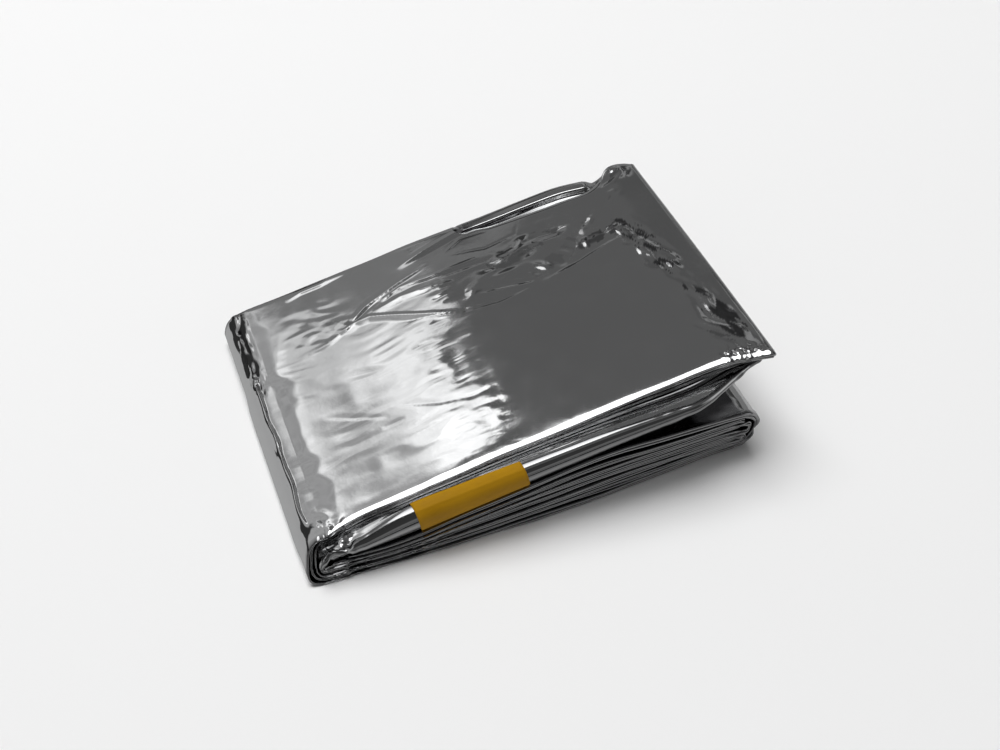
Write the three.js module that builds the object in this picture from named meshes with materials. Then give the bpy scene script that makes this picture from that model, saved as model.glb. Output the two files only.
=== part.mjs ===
// A folded emergency sleeping bag of metallised film, with a strip of tape on its front fold.
// The bag is first folded lengthwise into a long strip. The strip is then folded back and forth, and the
// pile is doubled over at its closed end, so that the outer layer wraps the closed end and the pile springs
// apart at the open end. Units are millimetres, +X runs from the closed end to the open end, +Y to the back.
import * as THREE from "three";

// Driving dimensions
const LONG = 112; // closed end to open end
const WIDE = 83.2; // the strip, front to back
const PRESSED_THICK = 0.5; // a layer at the closed end, where the pile is pressed
const PRESSED_AIR = 0.24; // the air between two layers there
const CROWN = 1.5; // how far trapped air lifts the middle of the top
const CLEARANCE = 0.3; // between the tape and the film under it
const TAPE_WIDE = 25.4; // along the fold
const TAPE_THICK = 0.6;
const TAPE_LEFT = -31.3;
const TAPE_TURN = { from: 95, to: -45 }; // degrees over the roll, from behind its top to below its middle
const TAPE_STEPS = [6, 12]; // along the fold and over the roll

const LEFT = -LONG / 2;

// How the pile swells from the closed end to the open end, read along its length
const SWELL = {
  along: [0, 0.1, 0.2, 0.3, 0.45, 0.6, 0.75, 0.9, 1],
  lower: [0, 0.005, 0.03, 0.28, 0.65, 0.93, 0.99, 1, 0.92], // share of the lower layers' springing apart
  upper: [0, 0.02, 0.05, 0.1, 0.2, 0.4, 0.75, 0.95, 1], // the same for the upper layers
  mouth: [0.5, 2.1, 4.1, 3.5, 3.2, 3.1, 4.8, 7.5, 10.0], // air between the upper and the lower layers
  roll: [0.3, 1.7, 3.2, 3.1, 2.75, 2.4, 1.8, 0.9, 0.5], // radius of the loose roll on the lowest upper layer
  corner: [1, 0.1, 0, 0, 0, 0, 0, 0.1, 1], // share of each layer's flare at the corners
  open: [0, 0, 0.02, 0.05, 0.12, 0.3, 0.65, 1, 1], // share of each edge's drift towards the open end
};

// One row a layer, from the top down. thick and air are its own thickness and the air under it at the open
// end. front is how far its front folds stand out past the strip's nominal edge, flare is added to that at
// the corners, and drift is added towards the open end. back is the same at the back, at the closed and at
// the open end. turn is where its straight run ends at the open end.
const LAYERS = [
  { name: "t1", thick: 1.1, air: 0.45, front: -4.0, flare: 3.6, drift: -0.3, back: [-1.5, -0.4], turn: 55.0 },
  { name: "t2", thick: 1.0, air: 0.4, front: -3.1, flare: 3.2, drift: 0.1, back: [-2.0, -0.2], turn: 55.0 },
  { name: "t3", thick: 1.1, air: 0.42, front: -2.1, flare: 2.7, drift: 0.9, back: [-2.6, -1.4], turn: 53.6 },
  { name: "t4", thick: 1.2, air: 0, front: 3.1, flare: -1.2, drift: -1.0, back: [-2.2, -0.8], turn: 53.6 },
  { name: "b1", thick: 1.5, air: 0.8, front: 2.2, flare: -0.3, drift: -0.8, back: [-3.2, 0.2], turn: 47.6 },
  { name: "b2", thick: 1.3, air: 0.65, front: 2.7, flare: -0.4, drift: -1.6, back: [-2.2, 0.9], turn: 45.5 },
  { name: "b3", thick: 1.6, air: 0.8, front: 3.0, flare: -0.3, drift: -2.3, back: [-3.0, 0.4], turn: 49.4 },
  { name: "b4", thick: 1.4, air: 0.7, front: 2.7, flare: 0.0, drift: -2.4, back: [-2.0, 1.0], turn: 49.4 },
  { name: "b5", thick: 1.6, air: 0.75, front: 3.3, flare: 0.1, drift: -3.6, back: [-2.8, 0.2], turn: 48.2 },
  { name: "b6", thick: 1.3, air: 0.65, front: 3.1, flare: 0.4, drift: -3.8, back: [-2.1, 0.7], turn: 48.2 },
  { name: "b7", thick: 1.6, air: 0, front: 3.6, flare: 0.3, drift: -4.9, back: [-2.5, 0.3], turn: 47.6 },
];
const UNEVEN = { share: 0.28, along: 0.11, across: 0.04, phase: 1.7 }; // waves in the air under a layer
const row = (name) => LAYERS.findIndex((layer) => layer.name === name);
const LOOSE = row("t4"); // the lowest layer over the mouth, with the loose roll on its front edge

// The strip's way through the pile, and the turn that follows each layer. reach is how far a turn stands
// out, square is how boxy it is and points is how many points it has between its two layers.
const WAY = [
  { layer: row("b1"), points: 7, turn: { points: 7, reach: 5.2, square: 2.4 } },
  { layer: row("b7"), points: 7, turn: { points: 9, reach: 4.4, square: 3.4 } },
  { layer: row("t1"), points: 17, turn: { points: 3, reach: 0.75, square: 2 } },
  { layer: row("t2"), points: 13, turn: { points: 7, reach: 3.5, square: 3.2 } },
  { layer: row("b6"), points: 7, turn: { points: 3, reach: 1.1, square: 2 } },
  { layer: row("b5"), points: 7, turn: { points: 7, reach: 2.6, square: 3.0 } },
  { layer: row("t3"), points: 7, turn: { points: 3, reach: 0.75, square: 2 } },
  { layer: row("t4"), points: 11, turn: { points: 5, reach: 1.7, square: 2.8 } },
  { layer: row("b4"), points: 7, turn: { points: 3, reach: 1.1, square: 2 } },
  { layer: row("b3"), points: 7, turn: { points: 3, reach: 0.7, square: 2 } },
  { layer: row("b2"), points: 7, turn: null },
];
const CLOSED_TURN = -50.9; // where the straight runs end at the closed end
const CLOSED_SLANT = 2.2; // how much further out the foot of the closed end stands than its top
const FREE_END = -47.5; // the strip starts inside, short of the turns
const GROUND_REACH = 0.02; // what comes this near to the ground lies flat on it

// Places across the strip, in mm from its front edge, and how much of its thickness it has there
const ACROSS = [
  [0, 0.3], [0.4, 0.78], [1.2, 1], [2.4, 1], [3.6, 1], [4.7, 1], [9, 1], [18, 1], [30, 1],
  [44, 1], [58, 1], [70, 1], [78, 1], [80.2, 1], [81.6, 1], [82.8, 0.78], [83.2, 0.3],
];

// The second layer rolls up along its back edge towards the open end, and the top layer draws in beside it.
// Both start and end over a short stretch of the length, in millimetres from the middle.
const BACK_ROLL = { layer: row("t2"), radius: 1.2, starts: [10, 18], ends: [42, 47] };
const ROLL_TAPER = 1.6; // how far in a roll ends, in its own radii
const DRAWN_IN = { layer: row("t1"), depth: 3.3, starts: [4, 12], ends: [46, 53] };

// Broad soft ridges of the top layer, each along a line that fades out at both ends
const RIDGES = [
  { from: [-46, 22], to: [-43, -30], rise: 0.45, wide: 3.0 },
  { from: [-38, 10], to: [-8, 31], rise: 0.7, wide: 4.0 },
  { from: [-28, 2], to: [0, 16], rise: 0.7, wide: 4.4 },
  { from: [-30, -12], to: [-8, -24], rise: 0.5, wide: 5.5 },
  { from: [42, -34], to: [40, 30], rise: 0.5, wide: 4.5 },
  { from: [53, -38], to: [44, -31], rise: 0.5, wide: 4.0 },
];

const clamp = (value, low = 0, high = 1) => Math.min(high, Math.max(low, value));
const mix = (a, b, share) => a + (b - a) * share;
const step = (low, high, value) => {
  const s = clamp((value - low) / (high - low));
  return s * s * (3 - 2 * s);
};
const lengthShare = (x) => clamp((x - LEFT) / LONG);
const between = ({ starts, ends }, x) => step(...starts, x) * (1 - step(...ends, x));

// Reads a column of SWELL at a share of the length, on a smooth curve through its values
function swell(column, share) {
  const at = SWELL.along;
  const value = SWELL[column];
  const last = at.length - 1;
  let k = 0;
  while (k < last - 1 && share > at[k + 1]) k += 1;
  const slope = (n) => {
    const a = Math.max(0, n - 1);
    const b = Math.min(last, n + 1);
    return (value[b] - value[a]) / (at[b] - at[a]);
  };
  const span = at[k + 1] - at[k];
  const s = (share - at[k]) / span;
  const h = s * s * (3 - 2 * s);
  const start = s * (1 - s) * (1 - s) * span * slope(k);
  const end = s * s * (s - 1) * span * slope(k + 1);
  return mix(value[k], value[k + 1], h) + start + end;
}

function edge(layer, side, x) {
  const { front, flare, drift, back } = LAYERS[layer];
  const share = lengthShare(x);
  const open = swell("open", share);
  if (side === "front") return -WIDE / 2 - front - flare * swell("corner", share) - drift * open;
  const out = WIDE / 2 + mix(...back, open);
  return layer === DRAWN_IN.layer ? out - DRAWN_IN.depth * between(DRAWN_IN, x) : out;
}

function nominalThick(layer, x) {
  const sprung = swell(layer <= LOOSE ? "upper" : "lower", lengthShare(x));
  return mix(PRESSED_THICK, LAYERS[layer].thick, sprung);
}

function airUnder(layer, x, y) {
  const { air } = LAYERS[layer];
  const sprung = swell(layer <= LOOSE ? "upper" : "lower", lengthShare(x));
  const wave = Math.sin(UNEVEN.phase * layer + UNEVEN.along * x + UNEVEN.across * y);
  const uneven = 1 + UNEVEN.share * wave * sprung;
  return mix(PRESSED_AIR, air * uneven, sprung);
}

// The roll on an edge of a layer, if it has one: its radius, how far in from the edge a place is, and
// whether it lies level with its layer or stands up from it
function rollOn(layer, x, y) {
  if (layer === LOOSE) {
    return { radius: swell("roll", lengthShare(x)), inside: y - edge(layer, "front", x), side: 0 };
  }
  if (layer === BACK_ROLL.layer) {
    return { radius: BACK_ROLL.radius * between(BACK_ROLL, x), inside: edge(layer, "back", x) - y, side: 1 };
  }
  return { radius: 0, inside: 0, side: 0 };
}

// Across a roll, at a distance in from its edge: half a circle, then a short taper into the layer
function roundThick({ radius }, inside) {
  if (inside > radius) return 2 * radius * (1 - step(radius, ROLL_TAPER * radius, inside));
  return 2 * Math.sqrt(Math.max(0, radius ** 2 - (radius - inside) ** 2));
}

// How far trapped air lifts the upper layers at a place
function crown(x, y) {
  const across = clamp(Math.abs((2 * y) / WIDE));
  return CROWN * Math.sin(Math.PI * lengthShare(x)) * (1 - across ** 2);
}

// How far the ridges lift the top layer there
function ridges(x, y) {
  let total = 0;
  for (const { from, to, rise, wide } of RIDGES) {
    const [dx, dy] = [to[0] - from[0], to[1] - from[1]];
    const along = clamp(((x - from[0]) * dx + (y - from[1]) * dy) / (dx * dx + dy * dy));
    const off = Math.hypot(x - from[0] - along * dx, y - from[1] - along * dy);
    total += rise * Math.exp(-((off / wide) ** 2));
  }
  return total;
}

// The height of the middle of a layer: the lower layers lie on each other from the ground up, then comes
// the mouth, and the upper layers lie over it. A roll keeps the height of its own middle out to its edge.
function height(layer, x, y) {
  let z = 0;
  for (let i = LAYERS.length - 1; i > layer; i -= 1) {
    z += nominalThick(i, x);
    z += i === LOOSE + 1 ? swell("mouth", lengthShare(x)) + crown(x, y) : airUnder(i - 1, x, y);
  }
  const thick = nominalThick(layer, x);
  const roll = rollOn(layer, x, y);
  const extra = Math.max(0, roundThick(roll, Math.max(roll.inside, roll.radius)) - thick);
  return z + (thick + roll.side * extra) / 2 + (layer === 0 ? ridges(x, y) : 0);
}

// The points of the strip's middle, for one place across it
function way(across) {
  const points = [];
  const [inside, rounding] = ACROSS[across];
  const place = (layer, x) => {
    const front = edge(layer, "front", x);
    const back = edge(layer, "back", x);
    const y = mix(front, back, inside / ACROSS.at(-1)[0]);
    const roll = rollOn(layer, x, y);
    const thick = Math.max(nominalThick(layer, x) * rounding, roundThick(roll, roll.inside));
    return { x, y, z: height(layer, x, y), thick };
  };
  WAY.forEach(({ layer, points: count, turn }, n) => {
    const outward = n % 2 === 0; // this run goes towards the open end
    const ends = [n === 0 ? FREE_END : CLOSED_TURN, LAYERS[layer].turn];
    if (!outward) ends.reverse();
    for (let k = 0; k < count; k += 1) {
      points.push(place(layer, mix(ends[0], ends[1], k / (count - 1))));
    }
    if (!turn) return;
    const next = place(WAY[n + 1].layer, ends[1]);
    const last = points.at(-1);
    for (let k = 1; k <= turn.points; k += 1) {
      const angle = (Math.PI * k) / (turn.points + 1);
      const up = Math.sign(Math.cos(angle)) * Math.abs(Math.cos(angle)) ** (2 / turn.square);
      const out = turn.reach * Math.sin(angle) ** (2 / turn.square);
      const share = (1 - up) / 2;
      const z = mix(last.z, next.z, share);
      const foot = 1 - z / height(0, CLOSED_TURN, last.y);
      const slant = (CLOSED_SLANT * foot * out) / turn.reach;
      points.push({
        x: ends[1] + (outward ? out : -out - slant),
        y: mix(last.y, next.y, share),
        z,
        thick: mix(last.thick, next.thick, share),
      });
    }
  });
  return points;
}

// A flat strip with a point for each place along and across it, folded by moving its points
function foldedStrip() {
  const ways = ACROSS.map((_, across) => way(across));
  const count = ways[0].length;
  const strip = new THREE.BoxGeometry(1, 1, 1, count - 1, ACROSS.length - 1, 1);
  const place = strip.attributes.position;
  for (let v = 0; v < place.count; v += 1) {
    const k = Math.round((place.getX(v) + 0.5) * (count - 1));
    const across = Math.round((place.getY(v) + 0.5) * (ACROSS.length - 1));
    const here = ways[across][k];
    const before = ways[across][Math.max(0, k - 1)];
    const after = ways[across][Math.min(count - 1, k + 1)];
    const run = Math.hypot(after.x - before.x, after.z - before.z);
    const half = (Math.sign(place.getZ(v)) * here.thick) / 2;
    const z = here.z + (half * (after.x - before.x)) / run;
    place.setXYZ(v, here.x - (half * (after.z - before.z)) / run, here.y, z < GROUND_REACH ? 0 : z);
  }
  strip.computeVertexNormals();
  return strip;
}

// The tape lies over the front of the loose roll, following its rise towards the open end
function tapeOverRoll() {
  const tape = new THREE.BoxGeometry(1, 1, 1, ...TAPE_STEPS, 1);
  const place = tape.attributes.position;
  for (let v = 0; v < place.count; v += 1) {
    const x = TAPE_LEFT + TAPE_WIDE * (place.getX(v) + 0.5);
    const radius = swell("roll", lengthShare(x));
    const middle = edge(LOOSE, "front", x) + radius;
    const turn = THREE.MathUtils.degToRad(mix(TAPE_TURN.to, TAPE_TURN.from, place.getY(v) + 0.5));
    const off = radius + CLEARANCE + (place.getZ(v) > 0 ? TAPE_THICK : 0);
    const z = height(LOOSE, x, middle);
    place.setXYZ(v, x, middle - off * Math.cos(turn), z + off * Math.sin(turn));
  }
  tape.computeVertexNormals();
  return tape;
}

const silverFilm = new THREE.MeshStandardMaterial({ color: 0xb9bbbd, metalness: 1.0, roughness: 0.16 });
const ochreTape = new THREE.MeshStandardMaterial({ color: 0xa87f12, metalness: 0.0, roughness: 0.42 });

const bag = new THREE.Mesh(foldedStrip(), silverFilm);
bag.name = "folded_bag";
const tape = new THREE.Mesh(tapeOverRoll(), ochreTape);
tape.name = "tape";

// The origin is under the middle of the pile, on the surface it lies on
const box = new THREE.Box3().setFromObject(bag);
const middle = box.getCenter(new THREE.Vector3());
const part = new THREE.Group();
part.add(bag, tape);
part.position.set(-middle.x, -middle.y, 0);
part.updateMatrixWorld(true);

export default part;
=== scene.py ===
"""A folded emergency sleeping bag of silver metallised film, with a strip of ochre tape on its front fold.

The bag is folded lengthwise into a long strip, the strip is folded back and forth into a pile, and its outer
layer wraps the closed end. The folding tables are in millimetres, +X from the closed to the open end.
"""
import math

import bmesh
import bpy
import numpy as np
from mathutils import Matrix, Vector


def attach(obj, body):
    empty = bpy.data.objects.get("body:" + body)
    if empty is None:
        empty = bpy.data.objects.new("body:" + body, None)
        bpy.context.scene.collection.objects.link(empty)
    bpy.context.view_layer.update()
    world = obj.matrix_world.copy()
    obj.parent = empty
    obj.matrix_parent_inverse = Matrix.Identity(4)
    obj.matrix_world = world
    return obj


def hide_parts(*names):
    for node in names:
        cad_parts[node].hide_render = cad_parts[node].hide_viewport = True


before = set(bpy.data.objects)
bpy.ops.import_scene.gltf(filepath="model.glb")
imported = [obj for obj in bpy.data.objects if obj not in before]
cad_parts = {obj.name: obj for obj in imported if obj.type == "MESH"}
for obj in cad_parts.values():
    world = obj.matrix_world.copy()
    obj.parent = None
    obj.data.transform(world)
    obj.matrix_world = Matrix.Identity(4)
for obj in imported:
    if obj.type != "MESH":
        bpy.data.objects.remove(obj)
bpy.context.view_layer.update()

MM = 0.001
TO_FRAME = (0.3539, 1.3546, 0.0)  # from the folding tables' middle to the frame's origin

# The pile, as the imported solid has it
LONG = 112.0
WIDE = 83.2
PRESSED_THICK = 0.5
PRESSED_AIR = 0.24
CROWN = 1.5
SWELL = {
    "along": (0, 0.1, 0.2, 0.3, 0.45, 0.6, 0.75, 0.9, 1),
    "lower": (0, 0.005, 0.03, 0.28, 0.65, 0.93, 0.99, 1, 0.92),
    "upper": (0, 0.02, 0.05, 0.1, 0.2, 0.4, 0.75, 0.95, 1),
    "mouth": (0.5, 2.1, 3.95, 3.75, 3.3, 3.1, 4.8, 7.5, 10.0),
    "roll": (0.3, 1.7, 3.2, 3.1, 2.75, 2.4, 1.8, 0.9, 0.5),
    "corner": (1, 0.1, 0, 0, 0, 0, 0, 0.1, 1),
    "open": (0, 0, 0.02, 0.05, 0.12, 0.3, 0.65, 1, 1),
}
# name, thickness, air under it, front, flare, drift, back at the closed and the open end, end of the run
LAYERS = (
    ("t1", 1.1, 0.45, -4.0, 3.6, -0.3, -1.5, -0.4, 55.0),
    ("t2", 1.0, 0.4, -4.15, 3.4, 0.0, -2.0, -0.2, 55.0),
    ("t3", 1.1, 0.42, -4.0, 3.2, 0.5, -2.6, -1.4, 53.6),
    ("t4", 1.2, 0.0, 3.1, -1.2, -1.0, -2.2, -0.8, 53.6),
    ("b1", 1.5, 0.8, 2.2, -0.3, -0.8, -3.2, 0.2, 47.6),
    ("b2", 1.3, 0.65, 2.7, -0.4, -1.6, -2.2, 0.9, 49.0),
    ("b3", 1.6, 0.8, 3.0, -0.3, -2.3, -3.0, 0.4, 50.3),
    ("b4", 1.4, 0.7, 2.7, 0.0, -2.4, -2.0, 1.0, 50.3),
    ("b5", 1.6, 0.75, 3.3, 0.1, -3.6, -2.8, 0.2, 49.6),
    ("b6", 1.3, 0.65, 3.1, 0.4, -3.8, -2.1, 0.7, 49.6),
    ("b7", 1.6, 0.0, 3.6, 0.3, -4.9, -2.5, 0.3, 47.6),
)
COLUMNS = ("name", "thick", "air", "front", "flare", "drift", "back_closed", "back_open", "turn")
LAYERS = [dict(zip(COLUMNS, row)) for row in LAYERS]
ROW = {layer["name"]: n for n, layer in enumerate(LAYERS)}
TOP = ROW["t1"]
LOOSE = ROW["t4"]
BACK_ROLL = ROW["t2"]
UNEVEN = {"share": 0.28, "along": 0.11, "across": 0.04, "phase": 1.7}
CLOSED_TURN = -50.9
CLOSED_SLANT = 2.2
FREE_END = -47.5
BACK_ROLL_RADIUS = 1.2
BACK_ROLL_SPAN = (2, 8, 41, 46)
BACK_ROLL_FLAT = (3.1, 3.5)  # the flat band behind the slit, in radii in from its edge
ROLL_TAPER = 1.6
# How far the back edges of the upper layers are drawn in along the pile, which opens a slit, and how far the
# fronts of the layers under the top one are tucked in towards its corner
DRAWN_IN = {
    "along": (6, 9.5, 13.5, 18, 24, 34, 41, 44.5, 49, 53, 55.8),
    "t1": (0, 2.4, 4.9, 5.6, 6.3, 7.4, 7.9, 6.2, 2.4, 2.4, 3.8),
    "t2": (0, 0, 0, 0, 0.1, 0.9, 2.8, 3.9, 2.4, 2.5, 3.7),
    "t3": (0, 0, 0, 0, 0.1, 0.9, 2.8, 3.9, 2.7, 2.9, 4.1),
    "t4": (0, 0, 0, 0, 0.1, 0.9, 2.8, 3.9, 2.7, 2.9, 4.1),
}
TUCKED = {"t2": (38, 55, 1.3), "t3": (36, 54, 3.6), "t4": (34, 54, 5.5)}

# What the thin film adds to the solid's folds. A layer's front bends down by so much at the closed end and at
# the open end, and by so much more in one place.
FRONT_BEND = {"t1": (0.2, 0.42, 0.13), "t2": (0.1, 0.25, 0.1), "t3": (0, 0.1, 0.05)}
FRONT_BEND_WIDE = 3.4
FRONT_BEND_WIDER = 4.6
FRONT_BEND_END = (38, 54, 0.55)  # where it narrows towards the open end, and by how much
FRONT_BEND_MORE = (2, 10)  # where more of the front bends down, and over what length
CLOSED_SLOPE = 0.045  # share by which the pile is lower where its top turns over the closed end
CLOSED_SLOPE_SPAN = (-53, -47)
CLOSED_SLOPE_WAVES = ((25, 1.3), (9, 0.6))
CORNER_BUMP = {"rise": 0.7, "place": (50, 38.5), "reach": (3.5, 4)}
# The wrap over the closed end: how far it stands out, how steeply its top falls, how boxy it is at most and
# at least, where it gets rounder and by what share, and the ridge along it
WRAP_REACH = 4.4
WRAP_SLOPE = 0.2
WRAP_BOXY = (6.0, 2.6)
WRAP_ROUNDER = ((8, 16, 1.0), (-33, -40, 0.7))
WRAP_RIDGE = {"rise": 0.6, "span": (-42, -36, 7, 11), "out": 3.5, "wide": 0.42}
# The ripples on the band behind the slit, and the small gathers along the loose roll. Their bands are counted
# from the roll beside them.
SLIT_RIPPLES = {"rise": 0.07, "wide": 1.1, "span": (16, 26, 42, 46), "band": (0, 0.3, 3.4, 4.2)}
SLIT_RIPPLES_GROW = {"along": (20, 28), "times": (0.6, 1.5)}
GATHERS = {"rise": 0.08, "wide": 1.05, "end": (8, 30), "band": (-0.2, 0.6, 2.4, 4.4)}
# Painted shade: how dark the film's colour is painted where other film shelters it, from nothing to one
COVER_PAINTED_SHADE_FADE = (-0.3, 1.5)  # across the edge of the layer above
SLIT_PAINTED_SHADE = {"deepest": 0.8, "lighter": 0.75, "from": (23, 31), "fade": (0.3, -0.1)}
OPEN_EDGES = {"t1": ("front", "back"), "t2": ("back",)}
RECESSED_PAINTED_SHADE = 0.55  # of the edges under the top layer
GROOVE_PAINTED_SHADE = 1.25  # of a groove, less so much of the share by which a place stands out of it


def step(low, high, value):
    share = np.clip((value - low) / (high - low), 0, 1)
    return share * share * (3 - 2 * share)


def mix(a, b, share):
    return a + (b - a) * share


def span(ends, x):
    """One between the two middle places, fading to nothing at the outer two."""
    return step(ends[0], ends[1], x) * (1 - step(ends[2], ends[3], x))


def spot(x, y, middle, reach, power):
    """One at a middle place, fading to nothing over its reach. A high power keeps it flat for longer."""
    return np.exp(-(((x - middle[0]) / reach[0]) ** power) - ((y - middle[1]) / reach[1]) ** power)


def curve(table, column, place):
    """A column of a table at a place along it, on a smooth curve through the column's values."""
    at = np.array(table["along"], float)
    value = np.array(table[column], float)
    share = np.clip(place, at[0], at[-1])
    k = np.searchsorted(at[1:-1], share, side="left")
    before = np.maximum(np.arange(len(at)) - 1, 0)
    after = np.minimum(np.arange(len(at)) + 1, len(at) - 1)
    slope = (value[after] - value[before]) / (at[after] - at[before])
    width = at[k + 1] - at[k]
    s = (share - at[k]) / width
    start = s * (1 - s) ** 2 * width * slope[k]
    end = s * s * (s - 1) * width * slope[k + 1]
    return mix(value[k], value[k + 1], s * s * (3 - 2 * s)) + start + end


def swell(column, x):
    """A column of SWELL at a place along the pile."""
    return curve(SWELL, column, (x + LONG / 2) / LONG)


def edge(layer, side, x):
    row = LAYERS[layer]
    opened = swell("open", x)
    if side == "front":
        low, high, tucked = TUCKED.get(row["name"], (0, 1, 0))
        front = -WIDE / 2 - row["front"] - row["flare"] * swell("corner", x) - row["drift"] * opened
        return front + tucked * step(low, high, x)
    out = WIDE / 2 + mix(row["back_closed"], row["back_open"], opened)
    return out - curve(DRAWN_IN, row["name"], x) if layer <= LOOSE else out


def sprung(layer, x):
    return swell("upper" if layer <= LOOSE else "lower", x)


def nominal_thick(layer, x):
    return mix(PRESSED_THICK, LAYERS[layer]["thick"], sprung(layer, x))


def air_under(layer, x, y):
    share = sprung(layer, x)
    wave = np.sin(UNEVEN["phase"] * layer + UNEVEN["along"] * x + UNEVEN["across"] * y)
    return mix(PRESSED_AIR, LAYERS[layer]["air"] * (1 + UNEVEN["share"] * wave * share), share)


def roll_radius(layer, side, x):
    if layer == LOOSE and side == "front":
        return swell("roll", x)
    if layer == BACK_ROLL and side == "back":
        return BACK_ROLL_RADIUS * span(BACK_ROLL_SPAN, x)
    return np.zeros_like(x)


def round_thick(radius, inside, flat=1.0, taper=ROLL_TAPER):
    """How thick a roll is at a distance in from its edge: round, then flat, then tapered into its layer."""
    circle = 2 * np.sqrt(np.maximum(0, radius**2 - (radius - inside) ** 2))
    tapered = 2 * radius * (1 - step(flat * radius, taper * radius + 1e-6, inside))
    return np.where(inside > radius, tapered, circle)


def crown(x, y):
    across = np.clip(np.abs(2 * y / WIDE), 0, 1)
    return CROWN * np.sin(np.pi * np.clip((x + LONG / 2) / LONG, 0, 1)) * (1 - across**2)


def along_line(x, y, start, end):
    """How far along a line a place is, how far to its left, and how long the line is."""
    dx, dy = end[0] - start[0], end[1] - start[1]
    length = math.hypot(dx, dy)
    share = np.clip(((x - start[0]) * dx + (y - start[1]) * dy) / length**2, 0, 1)
    off_x, off_y = x - start[0] - share * dx, y - start[1] - share * dy
    side = np.sign(dx * off_y - dy * off_x)
    return share, np.hypot(off_x, off_y) * np.where(side == 0, 1, side), length


def lowered(layer, x, y):
    """How far the front of an upper layer bends down, over a few millimetres in from its edge."""
    row = FRONT_BEND.get(LAYERS[layer]["name"])
    if row is None:
        return 0.0
    inside = np.maximum(y - edge(layer, "front", x), 0)
    more = np.exp(-(((x - FRONT_BEND_MORE[0]) / FRONT_BEND_MORE[1]) ** 2))
    down = mix(row[0], row[1], swell("upper", x)) + row[2] * more
    low, high, narrower = FRONT_BEND_END
    wide = (FRONT_BEND_WIDE + FRONT_BEND_WIDER * more) * (1 - narrower * step(low, high, x))
    return down * np.maximum(0, 1 - inside / wide) ** 2


def height(layer, x, y):
    """The height of the middle of a layer, counted up from the ground."""
    z = np.zeros(np.broadcast(x, y).shape)
    for i in range(len(LAYERS) - 1, layer, -1):
        z = z + nominal_thick(i, x)
        z = z + (swell("mouth", x) + crown(x, y) if i == LOOSE + 1 else air_under(i - 1, x, y))
    thick = nominal_thick(layer, x)
    radius = roll_radius(layer, "back", x)
    raised = np.maximum(0, 2 * radius - thick)
    inside = edge(layer, "back", x) - y
    flat_start, flat_end = (n * radius for n in BACK_ROLL_FLAT)
    z = z + (thick + raised * (1 - step(flat_start, flat_end + 1e-6, inside))) / 2
    if layer == BACK_ROLL:
        z = z + slit_ripples(x, inside - flat_end)
    uneven_x = x + ripple(y + 0 * x, 90, *CLOSED_SLOPE_WAVES)
    z = z * (1 - CLOSED_SLOPE * (1 - step(*CLOSED_SLOPE_SPAN, uneven_x)))
    if layer <= BACK_ROLL:
        z = z + CORNER_BUMP["rise"] * spot(x, y, CORNER_BUMP["place"], CORNER_BUMP["reach"], 2)
    if layer == LOOSE:
        z = z + gathers(x, y - edge(layer, "front", x) - roll_radius(layer, "front", x))
    z = z - lowered(layer, x, y)
    return z + relief(x, y) if layer == TOP else z


def slit_ripples(x, past):
    """The height of the ripples behind the slit, at a distance past the back roll."""
    waves = np.sin(2 * np.pi * (past / SLIT_RIPPLES["wide"] + ripple(x, 88, (30, 0.5))))
    grown = mix(*SLIT_RIPPLES_GROW["times"], step(*SLIT_RIPPLES_GROW["along"], x))
    fade = span(SLIT_RIPPLES["span"], x) * span(SLIT_RIPPLES["band"], past)
    return SLIT_RIPPLES["rise"] * fade * (waves * grown)


def gathers(x, past):
    """The height of the small gathers at a distance past the loose roll."""
    fade = span(GATHERS["band"], past) * (1 - step(*GATHERS["end"], x))
    return GATHERS["rise"] * fade * np.sin(2 * np.pi * past / GATHERS["wide"] + ripple(x, 71, (19, 0.9)))


def painted_cover_shade(layer, x, y):
    """Painted shade: one where the layer above lies over a place, and nothing where the place is in the open.
    """
    if layer == TOP:
        return np.zeros_like(x)
    inside = np.minimum(y - edge(layer - 1, "front", x), edge(layer - 1, "back", x) - y)
    under = step(*COVER_PAINTED_SHADE_FADE, inside)
    if layer == BACK_ROLL:
        lip = edge(layer, "back", x) - BACK_ROLL_FLAT[0] * roll_radius(layer, "back", x)
        deep = SLIT_PAINTED_SHADE["deepest"] * (1 - SLIT_PAINTED_SHADE["lighter"] * step(*SLIT_PAINTED_SHADE["from"], x))
        under = np.maximum(under, deep * step(*SLIT_PAINTED_SHADE["fade"], y - lip))
    return under


# Uneven lines and patches, each drawn from its own seed
CLOUD_CELLS = 128
LUMP_CELLS = 32
# How long the facets are, how high, how unevenly they bend, how many painted shades they are drawn from, and
# how patchy they are: the middle, the swing, the least and the most
FACETS = {"lengths": (0.7, 0.95, 1.3, 1.8, 2.5), "height": 0.4, "bend": 0.45, "painted_shades": 97}
FACET_PATCHES = (0.8, 1.1, 0.25, 1.3)


def ripple(place, seed, *bands):
    """A smooth uneven line: for each band, waves about that long and that high."""
    draw = np.random.default_rng(seed)
    total = np.zeros_like(place, dtype=float)
    for wavelength, size in bands:
        for stretch in (0.77, 1.0, 1.37):
            total += size / 2 * np.sin(2 * np.pi * (place / (wavelength * stretch) + draw.uniform()))
    return total


def cloud(x, y, size, seed):
    """Smooth patches from -1 to 1 over a plane, about as large as size."""
    cells = np.random.default_rng(seed).uniform(-1, 1, (CLOUD_CELLS, CLOUD_CELLS))
    u, v = x / size + CLOUD_CELLS // 2, y / size + CLOUD_CELLS // 2
    i, j = np.floor(u).astype(int), np.floor(v).astype(int)
    s, t = u - i, v - j
    s, t = s * s * (3 - 2 * s), t * t * (3 - 2 * t)
    i, j, i2, j2 = (n % CLOUD_CELLS for n in (i, j, i + 1, j + 1))
    return mix(mix(cells[i, j], cells[i2, j], s), mix(cells[i, j2], cells[i2, j2], s), t)


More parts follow.
